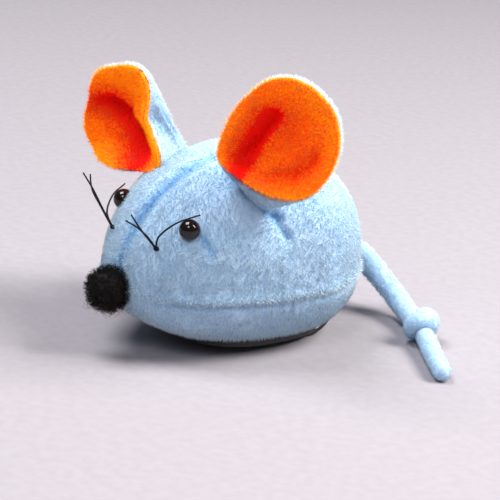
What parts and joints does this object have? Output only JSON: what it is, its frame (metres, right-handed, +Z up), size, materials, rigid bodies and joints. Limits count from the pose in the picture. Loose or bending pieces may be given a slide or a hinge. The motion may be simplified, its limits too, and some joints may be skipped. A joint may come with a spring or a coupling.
{
  "type": "wind-up mouse toy",
  "caption": "Plush toy mouse with cupped ears, pompom nose, bead eyes and knotted tail, over a spring motor with winding key, rear drive wheels and a front roller.",
  "frame": {"origin": "bottom centre of the box of the mouse without its tail, on the floor between the wheels", "axes": "+Z up; the nose points along -Y and the tail leaves along +Y; +X is the left side of the mouse, and the winding key is on its right, -X"},
  "size_m": [0.091, 0.0866, 0.0702],
  "materials": {
    "plush_blue": "short-pile pale blue plush",
    "plush_orange": "short-pile orange plush",
    "pompom_black": "fuzzy black yarn pompom",
    "bead_black": "polished black-brown bead",
    "thread_black": "waxed black sewing thread",
    "filling_white": "loose white polyester filling",
    "washer_white": "moulded nylon",
    "chassis_black": "fine matt moulded plastic",
    "housing_white": "moulded white plastic",
    "hub_white": "moulded white plastic",
    "gear_cream": "moulded acetal",
    "steel": "bright zinc-plated steel",
    "rubber_black": "matt black rubber",
    "key_white": "moulded white plastic"
  },
  "bodies": {
    "mouse": {"left_side_panel": "plush_blue", "right_side_panel": "plush_blue", "belly_panel": "plush_blue", "left_ear_back": "plush_blue", "right_ear_back": "plush_blue", "left_ear_lining": "plush_orange", "right_ear_lining": "plush_orange", "nose_pompom": "pompom_black", "left_eye": "bead_black", "right_eye": "bead_black", "left_whiskers": "thread_black", "right_whiskers": "thread_black", "stuffing": "filling_white", "left_eye_washer": "washer_white", "right_eye_washer": "washer_white", "base_plate": "chassis_black", "key_eyelet": "chassis_black", "motor_case_left": "housing_white", "motor_case_right": "housing_white", "mainspring": "steel", "spring_post": "steel", "roller_pin": "steel", "case_screw_1": "steel", "case_screw_2": "steel", "case_screw_3": "steel", "base_screw_1": "steel", "base_screw_2": "steel", "base_screw_3": "steel", "base_screw_4": "steel"},
    "drive": {"drive_axle": "steel", "axle_pinion": "gear_cream", "left_wheel": "hub_white", "right_wheel": "hub_white", "left_tyre": "rubber_black", "right_tyre": "rubber_black"},
    "second": {"second_gear": "gear_cream", "second_arbor": "steel"},
    "great": {"great_wheel": "gear_cream", "ratchet_click": "steel"},
    "winder": {"winding_key": "key_white", "winding_arbor": "steel", "ratchet_wheel": "steel"},
    "roller": {"front_roller": "rubber_black"},
    "tail": {"tail": "plush_blue"}
  },
  "joints": [
    {"name": "drive_spin", "type": "hinge", "parent": "mouse", "child": "drive", "pos_m": [0, 0.019, 0.0077], "axis": [1, 0, 0], "continuous": true, "deforming": ["ratchet_click"]},
    {"name": "second_spin", "type": "hinge", "parent": "mouse", "child": "second", "pos_m": [0, 0.01223, 0.01637], "axis": [1, 0, 0], "continuous": true},
    {"name": "great_spin", "type": "hinge", "parent": "mouse", "child": "great", "pos_m": [0, 0.00095, 0.02047], "axis": [1, 0, 0], "continuous": true},
    {"name": "key_wind", "type": "hinge", "parent": "mouse", "child": "winder", "pos_m": [0, 0.00095, 0.02047], "axis": [-1, 0, 0], "range_deg": [0, 1800], "deforming": ["mainspring"]},
    {"name": "roller_spin", "type": "hinge", "parent": "mouse", "child": "roller", "pos_m": [0, -0.0065, 0.003], "axis": [1, 0, 0], "continuous": true},
    {"name": "tail_swing", "type": "hinge", "parent": "mouse", "child": "tail", "pos_m": [0, 0.04, 0.0159], "axis": [0, 0, 1], "range_deg": [-30, 30]}
  ],
  "couplings": [
    {"joint": "second_spin", "follows": "drive_spin", "ratio": -0.375},
    {"joint": "great_spin", "follows": "drive_spin", "ratio": 0.125}
  ]
}
